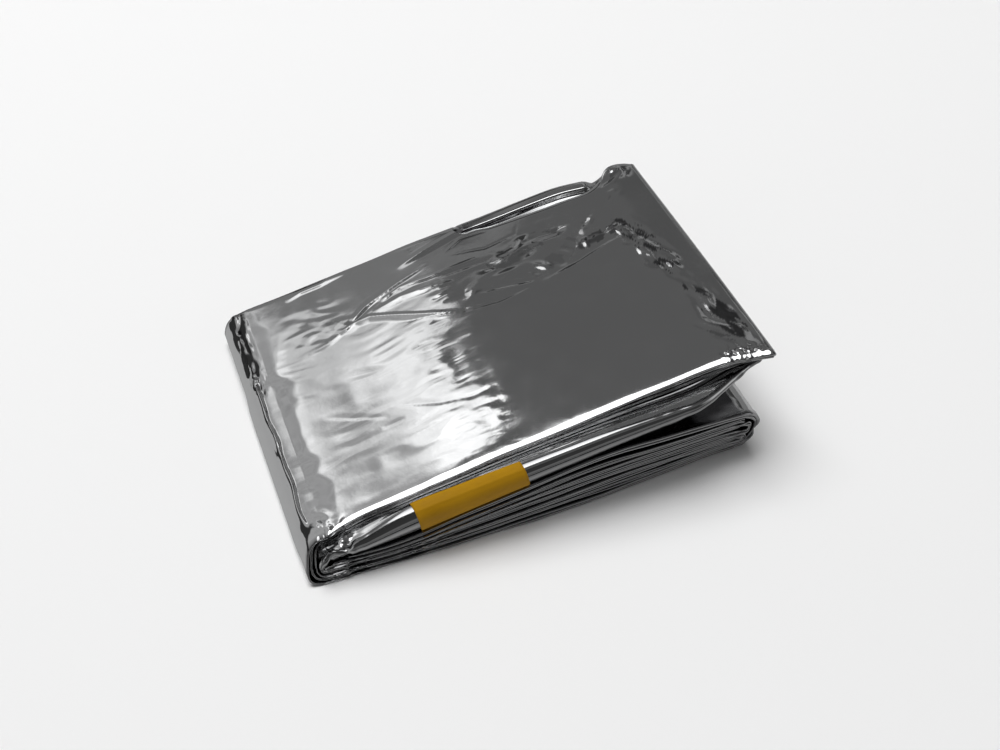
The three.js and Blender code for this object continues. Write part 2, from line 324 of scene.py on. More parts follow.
def lumps(places, size, seed):
    """Smooth lumps from -1 to 1 in space, about as large as size."""
    cells = np.random.default_rng(seed).uniform(-1, 1, (LUMP_CELLS, LUMP_CELLS, LUMP_CELLS))
    at = places / size + 5 * LUMP_CELLS
    low = np.floor(at).astype(int)
    share = at - low
    share = share * share * (3 - 2 * share)
    total = 0.0
    for corner in range(8):
        bits = [(corner >> k) & 1 for k in range(3)]
        i, j, k = ((low[..., n] + bits[n]) % LUMP_CELLS for n in range(3))
        weight = 1.0
        for n in range(3):
            weight = weight * (share[..., n] if bits[n] else 1 - share[..., n])
        total = total + weight * cells[i, j, k]
    return total


def facets(places, size, seed):
    """Small flat facets between straight sharp creases, in uneven patches, and a painted shade for each facet.
    """
    draw = np.random.default_rng(seed)
    drift = np.stack([lumps(places, size * 1.9, seed + n) for n in (1, 2, 3)], axis=-1)
    bent = places + size * FACETS["bend"] * drift
    total, number = 0.0, 0
    for n, length in enumerate(FACETS["lengths"]):
        way = draw.normal(size=3)
        way *= 1 / (np.linalg.norm(way) * size * length)
        wave = bent @ way + draw.uniform()
        total = total + length * (4 * np.abs(wave - np.floor(wave) - 0.5) - 1)
        if n > 0:
            number = number * 7 + np.floor(2 * wave).astype(int)
    painted_shade = draw.uniform(size=FACETS["painted_shades"])[np.mod(number, FACETS["painted_shades"])]
    middle, swing, least, most = FACET_PATCHES
    patch = np.clip(middle + swing * lumps(places, 2.2 * size, seed + 4), least, most)
    return FACETS["height"] * total * patch, painted_shade * patch


# The creases of the top: the points of its line, how far it stands up or lies down, and how wide it is on the
# left and on the right of the line. A crease fades out at both ends.
CREASES = (
    # the two folds that fan out from the left, the second bending into the long crease
    (
        ((-40.2, 15.1), (-34.5, 16.2), (-29.7, 18.4), (-23.2, 23.3), (-13.3, 27.0), (-4.0, 29.6)),
        0.2, 1.4, 1.0,
    ),
    (
        ((-31.5, 17.9), (-27.0, 19.6), (-23.1, 19.6), (-19.0, 17.4), (-13, 13.8), (-7.6, 10.8), (-2.0, 8.2)),
        0.34, 0.55, 2.6,
    ),
    (((-17.6, 13.4), (-10.1, 11.0), (-2.7, 8.2), (6.7, 6.8), (15.8, 8.0)), -0.16, 0.8, 0.7),
    # the leaves between them
    (((-29.5, 18.9), (-25.4, 20.9), (-19.7, 23.9)), -0.14, 0.6, 0.7),
    (((-21.8, 20.6), (-14.4, 21.9), (-6.7, 21.2), (-0.5, 19.4)), 0.27, 0.7, 2.4),
    (((-19.0, 23.4), (-13.3, 25.3), (-3.1, 24.6), (7.7, 25.0)), 0.14, 0.5, 0.5),
    (((-17.5, 22.9), (-10.0, 23.6), (-1.0, 22.9), (9.5, 22.6)), -0.12, 0.5, 0.5),
    (((-19.0, 23.3), (-15.8, 24.4)), 0.16, 0.5, 0.8),
    (((2.2, 12.4), (9.6, 11.1), (16.9, 9.4)), -0.19, 0.8, 0.6),
    (((0.8, 31.3), (6.0, 34.6), (12.7, 33.9)), -0.05, 0.5, 0.5),
    (((0.9, 30.0), (10.3, 27.4), (18.9, 28.5), (21.1, 32.9)), -0.05, 0.5, 0.5),
    # soft folds along the back
    (((-12.1, 32.6), (-4.8, 34.9), (2.7, 36.7), (10.2, 38.6), (14.6, 39.8)), 0.3, 1.9, 1.9),
    (((-40.6, 37.3), (-36.3, 38.4), (-30.9, 38.4), (-22.1, 39.8)), 0.2, 1.1, 1.1),
    # the long fold towards the open end
    (((17.4, 7.4), (27.3, 9.0), (37.9, 11.9), (42.5, 12.4)), 0.15, 1.3, 1.0),
    # hair creases
    (((-42.4, -6.7), (-36.0, -10.6), (-28.6, -14.7)), -0.05, 1.6, 0.4),
    (((-25.9, -12.5), (-17.1, -16.9), (-8.1, -19.4)), -0.06, 2.2, 0.4),
    (((-31.0, -17.1), (-25.4, -16.9)), -0.05, 1.3, 0.4),
    # along the closed end
    (((-45.5, 35.8), (-45, 26.5), (-48.6, 15.2), (-48, 3.7), (-48.1, -6.9), (-50.6, -18.9)), 0.05, 3.0, 3.0),
)
# Soft wrinkles of the top: where, how long and how wide they are, and how high
WRINKLES = (
    ((-32, -10), (21, 32), (7.5, 2.6), 0.04),
    ((-34, -10), (20, 32), (13.0, 4.4), 0.04),
    ((-9, -8), (8, 26), (4.6, 1.25), 0.03),
    ((-34, 24), (10, 8), (4.6, 2.6), 0.04),
    ((20, 0), (40, 42), (5.0, 3.0), 0.006),
)
WRINKLE_SLANT = 0.02
WRINKLE_DRIFT = 2.4  # how far the wrinkles wander off their straight lines, in patches of the next size
WRINKLE_DRIFT_SIZE = 13
WRINKLE_SOFT = 0.08  # how round their crests are

# Where the film is crumpled: the line it follows, how wide it is, how high, how large its facets are, and how
# dark the painted shade of the darkest of them is. A line off the top has a third number, the height above the
# ground.
CRUMPLES = (
    # on the top
    (((-38.8, 28.8), (-31.6, 26.4), (-29.2, 20.9)), 3.6, 0.05, 3.4, 0.35),
    (((-4.1, 16.3), (2.6, 17.4), (11.7, 20.1), (20.8, 22.9), (27.4, 24.3)), 3.0, 0.17, 3.4, 0.35),
    (((2.0, 14.0), (10.0, 15.0), (17.0, 13.0)), 2.4, 0.15, 3.4, 0.6),
    (((19.0, 11.5), (26.1, 13.9), (30.4, 17.6), (34.7, 21.4)), 2.8, 0.12, 3.2, 0.2),
    (((34.7, 21.4), (39.3, 26.4), (46.0, 29.4)), 1.8, 0.07, 2.4, 0.2),
    (((41.0, 18.5), (45.3, 10.2), (46.9, 2.0), (48.4, -6.0), (49.8, -14.0)), 3.0, 0.085, 2.6, 1.5),
    (((32.0, 14.5), (37.5, 16.0), (42.5, 17.0)), 2.0, 0.1, 2.6, 0.7),
    (((46.5, -1.0), (48.4, -10.0), (50.0, -20.0), (51.5, -30.0)), 2.8, 0.085, 2.6, 1.2),
    (((41.5, 12.5), (43.5, 6.0), (44.5, 0.0)), 2.4, 0.12, 2.2, 0.3),
    (((46.0, -24.0), (49.5, -30.0), (52.2, -36.0)), 3.0, 0.13, 2.4, 0.5),
    (((47.5, -36.5), (52.0, -38.5)), 2.4, 0.26, 1.1, 0.7),
    (((45.5, 34.6), (50.0, 37.0)), 2.4, 0.25, 1.8, 0.5),
    # over the closed end
    (((-54.0, 40.0), (-54.0, 25.0), (-54.2, 12.0)), 1.6, 0.24, 2.2, 0.5),
    (((-53.9, 13.4), (-54.2, 10.4)), 1.5, 0.3, 1.4, 0.4),
    (((-52.4, -34.0), (-52.0, -42.0)), 2.2, 0.3, 2.0, 0.5),
    (((-53.5, 38.0, 9.5), (-53.5, 41.0, 8.0)), 2.6, 0.35, 1.8, 0.4),
    (((-51.5, -42.5, 9.0), (-50.0, -43.5, 6.5), (-49.0, -43.0, 3.0)), 4.4, 0.6, 2.6, 0.4),
    (((-51.5, -43.5, 9.0), (-51.0, -44.5, 5.0), (-50.0, -44.5, 2.0)), 3.4, 0.25, 1.1, 0.0),
    # the flap, the lower layers' corner and the lowest edge
    (((28.0, -43.0, 20.0), (42.0, -42.0, 21.5), (50.0, -38.0, 23.0)), 2.1, 0.2, 3.2, 0.5),
    (((49.0, -40.0, 9.0), (50.5, -39.0, 5.0)), 4.0, 0.4, 2.2, 0.4),
    (((52.0, -43.5, 10.5), (53.0, -43.5, 6.0), (51.0, -43.0, 1.5)), 3.0, 0.45, 2.2, 0.4),
    (((-34.2, -45.6, 1.4), (-25.3, -45.6, 3.8)), 1.5, 0.3, 1.6, 0.2),
)
PLEAT_SMOOTH = 5  # over how many points to each side a crumple levels out the pleats that it moves
FACET_LONG = 0.35  # by what share their pattern is slowed down along the line, which makes the facets longer
CRUMPLE_REACH = 2.5  # how far out a crumple is worked out, in widths
PAINTED_SHADE_EDGE = (0.45, 0.6)  # how dark a facet's painted shade is before it shows, and before it shows in full
PAINTED_SHADE_WIDER = 1.5  # how much further out the painted shades reach than the facets do


def relief(x, y):
    """How far the creases and the soft wrinkles lift the top."""
    total = np.zeros(np.broadcast(x, y).shape)
    for points, rise, left, right in CREASES:
        whole = sum(math.dist(a, b) for a, b in zip(points, points[1:]))
        done = 0
        best = np.full(total.shape, 1e9)
        value = np.zeros(total.shape)
        for a, b in zip(points, points[1:]):
            share, off, length = along_line(x, y, a, b)
            place = np.clip((done + share * length) / whole, 0, 1)
            shape = np.clip(1 - np.abs(off) / np.where(off > 0, left, right), 0, 1) ** 1.5
            nearer = np.abs(off) < best
            value = np.where(nearer, rise * shape * np.sin(np.pi * place) ** 0.7, value)
            best = np.minimum(best, np.abs(off))
            done += length
        total += value
    for n, (middle, reach, size, rise) in enumerate(WRINKLES):
        off_line = y + WRINKLE_SLANT * x + WRINKLE_DRIFT * cloud(x, y, WRINKLE_DRIFT_SIZE, 40 + n)
        crest = 1 - 2 * np.sqrt(cloud(x / size[0], off_line / size[1], 1, 20 + n) ** 2 + WRINKLE_SOFT)
        total += rise * spot(x, y, middle, reach, 4) * crest
    return total


def crumple(surface, painted_shade_level):
    """Moves the surface in and out along its normals where the film is crumpled, and paints shade on some
    facets.
    """
    down, over = np.gradient(surface, axis=0), np.gradient(surface, axis=1)
    normal = np.cross(down, over)
    normal = sum(np.roll(normal, k, axis=1) for k in range(-PLEAT_SMOOTH, PLEAT_SMOOTH + 1))
    normal /= np.maximum(np.linalg.norm(normal, axis=-1, keepdims=True), 1e-9)
    moved, painted_shade_level = surface.copy(), painted_shade_level.copy()
    for n, (points, wide, rise, size, dark) in enumerate(CRUMPLES):
        line = [p if len(p) == 3 else (*p, on_top(*p)) for p in points]
        best = np.full(surface.shape[:-1], 1e9)
        for a, b in zip(line, line[1:]):
            a, b = np.array(a), np.array(b)
            share = np.clip(((surface - a) @ (b - a)) / ((b - a) @ (b - a)), 0, 1)
            best = np.minimum(best, np.linalg.norm(surface - a - share[..., None] * (b - a), axis=-1))
        near = best < CRUMPLE_REACH * wide
        way = np.subtract(line[-1], line[0])
        way = way / np.linalg.norm(way)
        along = (surface[near] - line[0]) @ way
        amount, painted_shade = facets(surface[near] - FACET_LONG * along[:, None] * way, size, 300 + 10 * n)
        fade = np.exp(-((best[near] / wide) ** 2))
        moved[near] += (rise * fade * amount)[:, None] * normal[near]
        # Painted shade: some facets get a darker colour, standing in for the dark surroundings that they
        # mirror.
        darker = dark * step(*PAINTED_SHADE_EDGE, np.minimum(1, PAINTED_SHADE_WIDER * fade) * painted_shade)
        painted_shade_level[near] = np.clip(painted_shade_level[near] + darker, 0, 1)
    return moved, painted_shade_level


def on_top(x, y):
    x, y = np.float64(x), np.float64(y)
    return float(height(TOP, x, y) + nominal_thick(TOP, x) / 2)


# The strip as a flattened tube. Its outline is cut into places: the outer side from front to back, the pleats
# of the back edge, the inner side from back to front, and the pleats of the front edge.
EDGE_DEPTH = 1.6  # how far in the pleats of an edge reach
THINNEST_EDGE = 0.05
PLEAT_TURN = 78  # in degrees up and down from the middle of a pleat
PLEAT_GROOVE = 0.55  # how deep the groove between two pleats is
PLEAT_REACH = ((17, 0.05), (43, 0.12), (4.3, 0.006))  # waves in how far a pleat stands out
ROLL_GROOVE = 0.12
ROLL_REACH = 0.15
ROLL_BULGE = {"front": 1.0, "back": 0.5}
IS_ROLL = (0.8, 1.1)  # at what share of the edge's thickness its radius begins to count, and counts in full


def shares(*stretches):
    """Shares of a side: stretches of so many points, each up to its end."""
    values = [0.0]
    for count, end in stretches:
        values += list(np.linspace(values[-1], end, count + 1)[1:])
    return values


def outline(outer, inner, pleats, arc_points):
    """Each place round the tube: its part, its share or pleat, its level, its reach, and one in a groove."""
    rows = [("outer", s, 1.0, 0.0, 0.0) for s in outer]
    rows += edge_rows("back", pleats, arc_points)
    rows += [("inner", s, -1.0, 0.0, 0.0) for s in reversed(inner)]
    rows += edge_rows("front", pleats, arc_points)[::-1]
    return rows


def edge_rows(part, count, arc_points):
    """The places of an edge from the outer side down: an arc for each pleat, and a groove between two."""
    rows = []
    for k in range(count):
        for n in range(arc_points):
            angle = math.radians(mix(PLEAT_TURN, -PLEAT_TURN, n / (arc_points - 1)))
            level = 1 - (2 * k + 1) / count + math.sin(angle) / count
            rows.append((part, k, level, math.cos(angle), 0.0))
        if k < count - 1:
            rows.append((part, k, 1 - 2 * (k + 1) / count, 0.0, 1.0))
    return rows


class Strip:
    """Places the outline of the strip along its way through the pile."""

    def __init__(self, rows):
        part, *numbers = zip(*rows)
        self.part = np.array(part)
        self.share, self.level, self.out, self.groove = (np.array(column, float) for column in numbers)
        self.on_side = np.isin(self.part, ("outer", "inner"))
        self.pleats = {p: max(1, int(self.share[self.part == p].max()) + 1) for p in ("front", "back")}

    def run(self, layer, x):
        """The places of a layer's run: x down the rows, the outline across the columns."""
        x = np.asarray(x, float)[:, None] + np.zeros((1, len(self.part)))
        thick = nominal_thick(layer, x)
        depth = {}
        for side in ("front", "back"):
            depth[side] = np.maximum(EDGE_DEPTH, roll_radius(layer, side, x) * 1.02)
        flat = depth["front"] + self.share * (WIDE - depth["front"] - depth["back"])
        inside = np.where(self.on_side, flat, 0.0)
        half = np.zeros_like(x)
        for side in ("front", "back"):
            here = self.part == side
            distance, half[:, here] = self.edge_of(layer, side, x[:, here], thick[:, here])
            inside[:, here] = distance if side == "front" else WIDE - distance
        y = mix(edge(layer, "front", x), edge(layer, "back", x), inside / WIDE)
        front_roll = round_thick(roll_radius(layer, "front", x), inside)
        back_roll = round_thick(roll_radius(layer, "back", x), WIDE - inside, *BACK_ROLL_FLAT)
        thickest = np.maximum(np.maximum(front_roll, back_roll), thick)
        half = np.where(self.on_side, thickest / 2, half)
        return np.stack([x, y, height(layer, x, y), half, painted_cover_shade(layer, x, y)], axis=-1)

    def edge_of(self, layer, side, x, thick):
        """How far in from its edge each place of an edge lies, and half the edge's thickness there."""
        here = self.part == side
        radius = roll_radius(layer, side, x)
        half = np.maximum(thick / 2, THINNEST_EDGE)
        reach = np.zeros_like(radius)
        for k in range(self.pleats[side]):
            column = self.share[here] == k
            seed = 100 * layer + 10 * k + (5 if side == "back" else 0)
            reach[:, column] = ripple(x[:, column], seed, *PLEAT_REACH)
        pleated = half / self.pleats[side] * (1 - self.out[here]) - reach + PLEAT_GROOVE * self.groove[here]
        bulge = np.cos(np.arcsin(np.clip(self.level[here], -1, 1))) ** ROLL_BULGE[side]
        rolled = radius * (1 - bulge) + ROLL_GROOVE * self.groove[here] - ROLL_REACH * reach
        is_roll = step(*IS_ROLL, radius / half)
        return mix(pleated, rolled, is_roll), mix(half, radius, is_roll)

    def turn(self, last, following, outward, points, reach, square):
        """The places of the turn from one run's end to the next one's start."""
        rows = []
        y = last[:, 1]
        top = height(TOP, np.float64(CLOSED_TURN), y)
        wrap = reach == WRAP_REACH
        if wrap:
            rounder = [share * step(start, end, y) for start, end, share in WRAP_ROUNDER]
            square = mix(*WRAP_BOXY, np.maximum(*rounder))
        for k in range(1, points + 1):
            angle = math.pi * k / (points + 1)
            up = np.sign(math.cos(angle)) * abs(math.cos(angle)) ** (2 / square)
            out = reach * math.sin(angle) ** (2 / square)
            share = (1 - up) / 2
            place = mix(last, following, np.reshape(share, (-1, 1)))
            slant = CLOSED_SLANT * (1 - place[:, 2] / top) * out / reach
            place[:, 0] = last[:, 0] + (out if outward else -out - slant)
            if wrap:
                ridge = WRAP_RIDGE["rise"] * (1 + ripple(y, 91, (13, 0.5))) * span(WRAP_RIDGE["span"], y)
                off_line = out - WRAP_RIDGE["out"] - ripple(y, 92, (19, 0.3))
                ridge *= (share > 0.5) * np.exp(-((off_line / WRAP_RIDGE["wide"]) ** 2))
                place[:, 2] += ridge - WRAP_SLOPE * out * share**2
            rows.append(place)
        return np.array(rows)

    def painted_shelter_shade(self, cover, up, down, least=0.0, open_edges=()):
        """The painted shade of each place: by cover on the side up, by down on the other one, and in grooves.
        """
        flat = np.where(self.part == up, cover, down)
        grooves = np.clip(GROOVE_PAINTED_SHADE - GROOVE_PAINTED_SHADE * self.out, least, 1)
        upper = self.level * (1 if up == "outer" else -1)
        for part in open_edges:
            grooves = np.where((self.part == part) & (upper > 1 - 1 / self.pleats[part]), 0.0, grooves)
        return np.where(self.on_side, flat, grooves)

    def surface(self, middle):
        """Moves the places out from the strip's middle, square to its way."""
        way = np.gradient(middle[..., [0, 2]], axis=0)
        length = np.linalg.norm(way, axis=-1)
        off = middle[..., 3] * self.level
        x = middle[..., 0] - off * way[..., 1] / length
        z = middle[..., 2] + off * way[..., 0] / length
        return np.stack([x, middle[..., 1], np.maximum(z, 0.0)], axis=-1)


# The way of the strip: each layer's run, the points along it, and the turn after it with its points, how far
# it stands out and how boxy it is
WAY = (
    ("b1", 24, 24, 5.2, 2.4),
    ("b7", 24, 76, WRAP_REACH, 2.6),
    ("t1", 290, 10, 0.75, 2),
    ("t2", 118, 14, 3.5, 3.2),
    ("b6", 76, 8, 1.1, 2),
    ("b5", 76, 12, 2.6, 3.0),
    ("t3", 118, 8, 0.75, 2),
    ("t4", 150, 10, 1.7, 2.8),
    ("b4", 76, 8, 1.1, 2),
    ("b3", 76, 8, 0.7, 2),
    ("b2", 76, 0, 0, 0),
)
FULL_RUN = 105  # about how long a run is that isn't cut short
FINE_TURN = 400  # points of the turn that the wanted ones are picked from


def even_turn(strip, last, following, outward, points, reach, square):
    """A turn whose points are spread evenly over its length."""
    fine = strip.turn(last, following, outward, FINE_TURN, reach, square)
    fine = np.concatenate([last[None], fine, following[None]])
    middle = fine[:, fine.shape[1] // 4]
    length = np.concatenate([[0], np.cumsum(np.linalg.norm(np.diff(middle[:, [0, 2]], axis=0), axis=-1))])
    wanted = np.linspace(0, length[-1], points + 2)[1:-1]
    at = np.clip(np.searchsorted(length, wanted), 1, len(length) - 1)
    share = ((wanted - length[at - 1]) / np.maximum(length[at] - length[at - 1], 1e-9))[:, None, None]
    return mix(fine[at - 1], fine[at], share)


def strip_places(strip, first, last, lead=None, tail=None):
    """The strip's places between two steps of WAY. lead and tail cut the first and the last run short."""
    parts = []
    for n in range(first, last + 1):
        name, points, turn_points, reach, square = WAY[n]
        outward = n % 2 == 0
        ends = [FREE_END if n == 0 else CLOSED_TURN, LAYERS[ROW[name]]["turn"]]
        if not outward:
            ends.reverse()
        if n == first and lead is not None:
            ends[0] = lead
        if n == last and tail is not None:
            ends[1] = tail
            points = max(4, round(points * abs(ends[1] - ends[0]) / FULL_RUN))
        run = strip.run(ROW[name], np.linspace(ends[0], ends[1], points))
        least = RECESSED_PAINTED_SHADE if name in ("t2", "t3") else 0.0
        sides = ("outer" if outward else "inner", float(name != "b7"))
        # The fifth value of each place is its painted shade: under the layer above, in recesses and in grooves.
        run[..., 4] = strip.painted_shelter_shade(run[..., 4], *sides, least, OPEN_EDGES.get(name, ()))
        parts.append(run)
        if n < last:
            following = strip.run(ROW[WAY[n + 1][0]], np.array([ends[1]]))[0]
            turn = even_turn(strip, run[-1], following, outward, turn_points, reach, square)
            outside = "outer" if outward or name == "b7" else "inner"
            # On a turn the outside gets no painted shade, the inside and the grooves do.
            turn[..., 4] = np.where(strip.part == outside, 0.0, strip.painted_shelter_shade(1.0, outside, 1.0))
            parts.append(turn)
    return np.concatenate(parts)


def steps_of(places, axis):
    """The mean distance from each row of a grid of places to the next one, along one of the grid's axes."""
    return np.linalg.norm(np.diff(places, axis=axis), axis=-1).mean(axis=1 - axis)


def tube(name, places, painted_shade_level=0.0):
    """A closed tube: a grid of faces moved on to the places and welded along its seam."""
    along, round_it = places.shape[:2]
    bm = bmesh.new()
    uv = bm.loops.layers.uv.new("film")
    bmesh.ops.create_grid(bm, x_segments=along - 1, y_segments=round_it, size=1, calc_uvs=True)
    closed = np.concatenate([places, places[:, :1]], axis=1)
    so_far, round_so_far = (np.concatenate([[0], np.cumsum(steps_of(closed, axis))]) for axis in (0, 1))
    moved = (closed + np.array(TO_FRAME)) * MM
    # Each point carries its painted shade as an attribute, which darkens the film's colour.
    painted_shelter_shade = bm.verts.layers.float.new("painted_shelter_shade")
    painted_shade_level = painted_shade_level + np.zeros(places.shape[:2])
    for vert in bm.verts:
        i = round((vert.co.x + 1) / 2 * (along - 1))
        j = round((vert.co.y + 1) / 2 * round_it)
        vert.co = moved[i, j]
        vert[painted_shelter_shade] = float(painted_shade_level[i, j % round_it])
    for face in bm.faces:
        for loop in face.loops:
            u, v = loop[uv].uv
            loop[uv].uv = (so_far[round(u * (along - 1))] * MM, round_so_far[round(v * round_it)] * MM)
    bmesh.ops.remove_doubles(bm, verts=bm.verts, dist=1e-7)
    bmesh.ops.holes_fill(bm, edges=[e for e in bm.edges if e.is_boundary])
    bmesh.ops.recalc_face_normals(bm, faces=bm.faces)
    return finished(name, bm)


def finished(name, bm):
    mesh = bpy.data.meshes.new(name)
    for face in bm.faces:
        face.smooth = True
    bm.to_mesh(mesh)
    bm.free()
    piece = bpy.data.objects.new(name, mesh)
    bpy.context.scene.collection.objects.link(piece)
    return piece


# Materials
MARK_DETAIL = {"Wave Scale": 2, "Grain Scale": 1}
GRAIN_SHARE = 0.12  # of the waves' height
CLOUDINESS = {"Scale": 110, "Detail": 5, "Roughness": 0.65}
CLOUDY_RANGE = (0.35, 0.65)  # the cloudiness that gives the least and the most roughness
FILM_MARKS = {"waves": 420, "grain": 2600, "height": 0.000008, "roughness": (0.05, 0.12)}
FILM_COLOUR_AND_PAINTED_SHADE = ((0.78, 0.785, 0.79), (0.2, 0.2, 0.205))  # the film's own in the open, and its painted shade where it is hidden in the folds
TAPE_MARKS = {"waves": 500, "grain": 3000, "height": 0.00002, "roughness": (0.5, 0.68)}
TAPE_COLOURS = ((0.33, 0.165, 0.003), (0.47, 0.245, 0.006))


def new_material(name):
    material = bpy.data.materials.new(name)
    material.use_nodes = True
    nodes = material.node_tree.nodes
    return material, nodes, material.node_tree.links, nodes["Principled BSDF"]


def handling_marks():
    """Fine waves and cloudiness that thin plastic takes on when it is folded and pressed."""
    group = bpy.data.node_groups.new("handling_marks", "ShaderNodeTree")
    for name, kind, way in (
        ("Wave Scale", "NodeSocketFloat", "INPUT"),
        ("Grain Scale", "NodeSocketFloat", "INPUT"),
        ("Cloudiness", "NodeSocketFloat", "OUTPUT"),
        ("Height", "NodeSocketFloat", "OUTPUT"),
    ):
        group.interface.new_socket(name=name, in_out=way, socket_type=kind)
    nodes, links = group.nodes, group.links
    given, result = nodes.new("NodeGroupInput"), nodes.new("NodeGroupOutput")
    place = nodes.new("ShaderNodeTexCoord")
    heights = []
    for name, detail in MARK_DETAIL.items():
        noise = nodes.new("ShaderNodeTexNoise")
        noise.inputs["Detail"].default_value = detail
        links.new(place.outputs["Object"], noise.inputs["Vector"])
        links.new(given.outputs[name], noise.inputs["Scale"])
        heights.append(noise.outputs["Fac"])
    weigh = nodes.new("ShaderNodeMath")
    weigh.operation = "MULTIPLY_ADD"
    links.new(heights[1], weigh.inputs[0])
    weigh.inputs[1].default_value = GRAIN_SHARE
    links.new(heights[0], weigh.inputs[2])
    links.new(weigh.outputs[0], result.inputs["Height"])
    cloudy = nodes.new("ShaderNodeTexNoise")
    for name, value in CLOUDINESS.items():
        cloudy.inputs[name].default_value = value
    links.new(place.outputs["Object"], cloudy.inputs["Vector"])
    links.new(cloudy.outputs["Fac"], result.inputs["Cloudiness"])
    return group


MARKS = handling_marks()


def marked(nodes, links, shader, waves, grain, height, roughness):
    """Places the marks in a material: its bump, its range of roughness, and its cloudiness for the colour."""
    marks = nodes.new("ShaderNodeGroup")
    marks.node_tree = MARKS
    marks.inputs["Wave Scale"].default_value = waves
    marks.inputs["Grain Scale"].default_value = grain
    bump = nodes.new("ShaderNodeBump")
    bump.inputs["Distance"].default_value = height
    links.new(marks.outputs["Height"], bump.inputs["Height"])
    links.new(bump.outputs["Normal"], shader.inputs["Normal"])
    rough = nodes.new("ShaderNodeMapRange")
    rough.inputs["From Min"].default_value, rough.inputs["From Max"].default_value = CLOUDY_RANGE
    rough.inputs["To Min"].default_value, rough.inputs["To Max"].default_value = roughness
    links.new(marks.outputs["Cloudiness"], rough.inputs["Value"])
    links.new(rough.outputs["Result"], shader.inputs["Roughness"])
    return marks.outputs["Cloudiness"]


def between(nodes, links, share, colours, socket):
    """Feeds a socket with a colour between two, by a share that changes over the surface."""
    blend = nodes.new("ShaderNodeMix")
    blend.data_type = "RGBA"
    links.new(share, blend.inputs["Factor"])
    for name, colour in zip("AB", colours):
        blend.inputs[name].default_value = (*colour, 1)
    links.new(blend.outputs["Result"], socket)


def film_material():
    material, nodes, links, shader = new_material("silver_film")
    shader.inputs["Metallic"].default_value = 1.0
    marked(nodes, links, shader, **FILM_MARKS)
    # Painted shade: the attribute darkens the film's colour in the folds, in the grooves and on some crumpled
    # facets.
    painted_shelter_shade = nodes.new("ShaderNodeAttribute")
    painted_shelter_shade.attribute_name = "painted_shelter_shade"
    between(nodes, links, painted_shelter_shade.outputs["Fac"], FILM_COLOUR_AND_PAINTED_SHADE, shader.inputs["Base Color"])
    return material


def tape_material():
    material, nodes, links, shader = new_material("ochre_tape")
    shader.inputs["Specular IOR Level"].default_value = 0.2
    cloudiness = marked(nodes, links, shader, **TAPE_MARKS)
    between(nodes, links, cloudiness, TAPE_COLOURS, shader.inputs["Base Color"])
    return material


FILM = film_material()
TAPE = tape_material()

# The film, as two pieces that meet end to end in the run of t2. The bag's top is the outer side of the outer
# piece, so that side has the most points.
JOINT, JOINT_GAP = 51.0, 0.1
TOP_SIDE = shares((12, 0.05), (150, 0.95), (12, 1))
UNDER_SIDE = shares((2, 0.05), (4, 0.95), (2, 1))
INNER_SIDE = shares((14, 0.075), (4, 0.93), (4, 0.96), (6, 0.973), (5, 1))
outer_strip = Strip(outline(TOP_SIDE, UNDER_SIDE, pleats=2, arc_points=7))
outer_places = strip_places(outer_strip, 0, 3, tail=JOINT)
outer = tube("film_outer", *crumple(outer_strip.surface(outer_places), outer_places[..., 4]))
inner_strip = Strip(outline(INNER_SIDE, INNER_SIDE, pleats=3, arc_points=7))
inner_places = strip_places(inner_strip, 3, 10, lead=JOINT - JOINT_GAP)
inner = tube("film_inner", *crumple(inner_strip.surface(inner_places), inner_places[..., 4]))


for piece, places in ((outer, outer_places), (inner, inner_places)):
    piece.data.materials.append(FILM)
    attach(piece, "root")
    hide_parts("folded_bag")

# The tape over the loose roll
TAPE_LEFT, TAPE_WIDE = -31.3, 25.4
TAPE_TURN = (-78, 98)  # how far down and how far up round the roll it goes, in degrees
TAPE_OFF = (0.3, 0.5)  # its inside and its outside face
TAPE_SKEW = 1.8
TAPE_CREASE = {"turn": 58, "rise": 0.1, "wide": 0.07}  # in degrees, millimetres and radians


def tape_places(along, over):
    """The inside and the outside face of the tape, each a grid of places along the roll and over it."""
    x = np.linspace(TAPE_LEFT, TAPE_LEFT + TAPE_WIDE, along)[:, None] + np.zeros((1, over))
    turn = np.radians(np.linspace(TAPE_TURN[0], TAPE_TURN[1], over))[None]
    x = x + TAPE_SKEW * (0.5 - np.linspace(0, 1, over)[None])
    crease = np.exp(-(((turn - math.radians(TAPE_CREASE["turn"])) / TAPE_CREASE["wide"]) ** 2))
    middle = edge(LOOSE, "front", x) + swell("roll", x)
    z = height(LOOSE, x, middle)
    sheets = []
    for off in TAPE_OFF:
        radius = swell("roll", x) + TAPE_CREASE["rise"] * crease + off
        sheets.append(np.stack([x, middle - radius * np.cos(turn), z + radius * np.sin(turn)], -1))
    return sheets


inside_face, outside_face = tape_places(48, 40)
tape = tube("tape_strip", np.concatenate([outside_face, inside_face[:, ::-1]], axis=1))
tape.data.materials.append(TAPE)
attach(tape, "root")
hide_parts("tape")

# Floor, lights and camera
bpy.context.scene.view_settings.view_transform = "Standard"
FLOOR_SIZE = 6
FLOOR_BELOW = 0.00005
FLOOR_COLOUR = (0.9, 0.9, 0.9, 1)
FLOOR_PAINTED_SHADE_IN_GLOSS = ((0.4, 0.4, 0.4), (0.2, 0.2, 0.2))  # beside the bag, and in front of it
FLOOR_PAINTED_SHADE_SPAN = (-0.035, -0.065)  # from where to where along Y

floor_mesh = bmesh.new()
bmesh.ops.create_grid(floor_mesh, x_segments=1, y_segments=1, size=FLOOR_SIZE)
floor = finished("floor", floor_mesh)
floor.location.z = -FLOOR_BELOW


